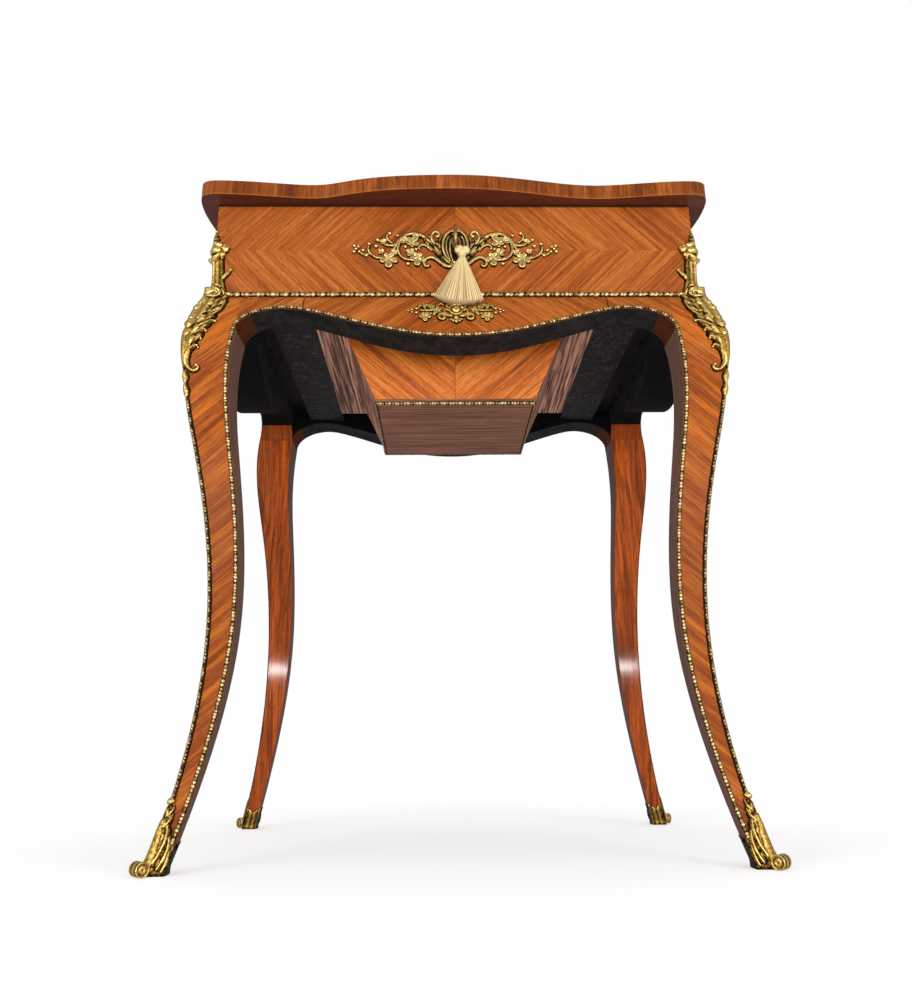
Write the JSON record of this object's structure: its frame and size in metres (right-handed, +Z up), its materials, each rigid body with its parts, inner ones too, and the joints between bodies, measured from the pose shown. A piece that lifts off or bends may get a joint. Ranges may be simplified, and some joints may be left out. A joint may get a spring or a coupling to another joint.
{
  "type": "work table",
  "caption": "Small veneered work table with a serpentine hinged lid, a sliding sewing well under the case, cabriole legs and gilt foliate mounts.",
  "frame": {"origin": "on the floor under the middle of the case", "axes": "+Z up, +X to the right of a person facing the front, front towards -Y"},
  "size_m": [0.604, 0.446, 0.73],
  "materials": {
    "veneer": "polished chevron veneer",
    "black_carcase": "black painted underside",
    "carcase_wood": "plain stained wood",
    "gilt": "gilded cast ornament",
    "brass": "aged brass",
    "steel": "plain iron work",
    "silk": "silk thread"
  },
  "bodies": {
    "frame": {"front_left_leg": "veneer", "front_right_leg": "veneer", "back_left_leg": "veneer", "back_right_leg": "veneer", "front_frieze": "veneer", "back_frieze": "veneer", "left_frieze": "veneer", "right_frieze": "veneer", "case_bottom": "black_carcase", "back_apron": "veneer", "left_apron": "veneer", "right_apron": "veneer", "front_left_apron": "veneer", "front_right_apron": "veneer", "left_guide_rail": "black_carcase", "right_guide_rail": "black_carcase", "rail_screws": "steel", "front_left_sabot": "gilt", "front_right_sabot": "gilt", "back_left_sabot": "gilt", "back_right_sabot": "gilt", "front_left_corner_mount": "gilt", "front_right_corner_mount": "gilt", "back_left_corner_mount": "gilt", "back_right_corner_mount": "gilt", "front_left_leg_mouldings": "gilt", "front_right_leg_mouldings": "gilt", "back_left_leg_mouldings": "gilt", "back_right_leg_mouldings": "gilt", "frieze_mouldings": "gilt", "apron_mouldings": "gilt", "keyhole_escutcheon": "gilt", "lock_case": "steel", "left_hinge_fixed_leaf": "brass", "right_hinge_fixed_leaf": "brass", "hinge_pins": "steel", "fixed_leaf_screws": "steel"},
    "lid": {"lid_board": "veneer", "left_hinge_moving_leaf": "brass", "right_hinge_moving_leaf": "brass", "lid_leaf_screws": "steel", "lock_strike": "steel"},
    "well": {"well_front_apron": "veneer", "well_apron_moulding": "gilt", "apron_mount": "gilt", "left_runner": "carcase_wood", "right_runner": "carcase_wood", "front_cross_rail": "carcase_wood", "back_cross_rail": "carcase_wood", "well_front_panel": "veneer", "well_back_panel": "veneer", "well_left_panel": "veneer", "well_right_panel": "veneer", "well_bottom": "carcase_wood", "well_bottom_moulding": "gilt"},
    "key": {"key": "brass"},
    "bolt": {"lock_bolt": "steel"},
    "tassel": {"tassel_cord": "silk", "tassel_head": "silk", "tassel_skirt": "silk"}
  },
  "joints": [
    {"name": "lid_hinge", "type": "hinge", "parent": "frame", "child": "lid", "pos_m": [0, 0.1958, 0.71185], "axis": [-1, 0, 0], "range_deg": [0, 95]},
    {"name": "well_slide", "type": "slide", "parent": "frame", "child": "well", "axis": [0, -1, 0], "range_m": [0, 0.2]},
    {"name": "key_turn", "type": "hinge", "parent": "frame", "child": "key", "pos_m": [0, -0.2, 0.657], "axis": [0, 1, 0], "range_deg": [0, 360]},
    {"name": "bolt_throw", "type": "slide", "parent": "frame", "child": "bolt", "axis": [1, 0, 0], "range_m": [0, 0.008]},
    {"name": "tassel_swing", "type": "hinge", "parent": "frame", "child": "tassel", "pos_m": [0, -0.203, 0.657], "axis": [0, 1, 0], "range_deg": [-18, 18]}
  ],
  "couplings": [
    {"joint": "key_turn", "follows": "bolt_throw", "rad_per_m": 785.39}
  ]
}
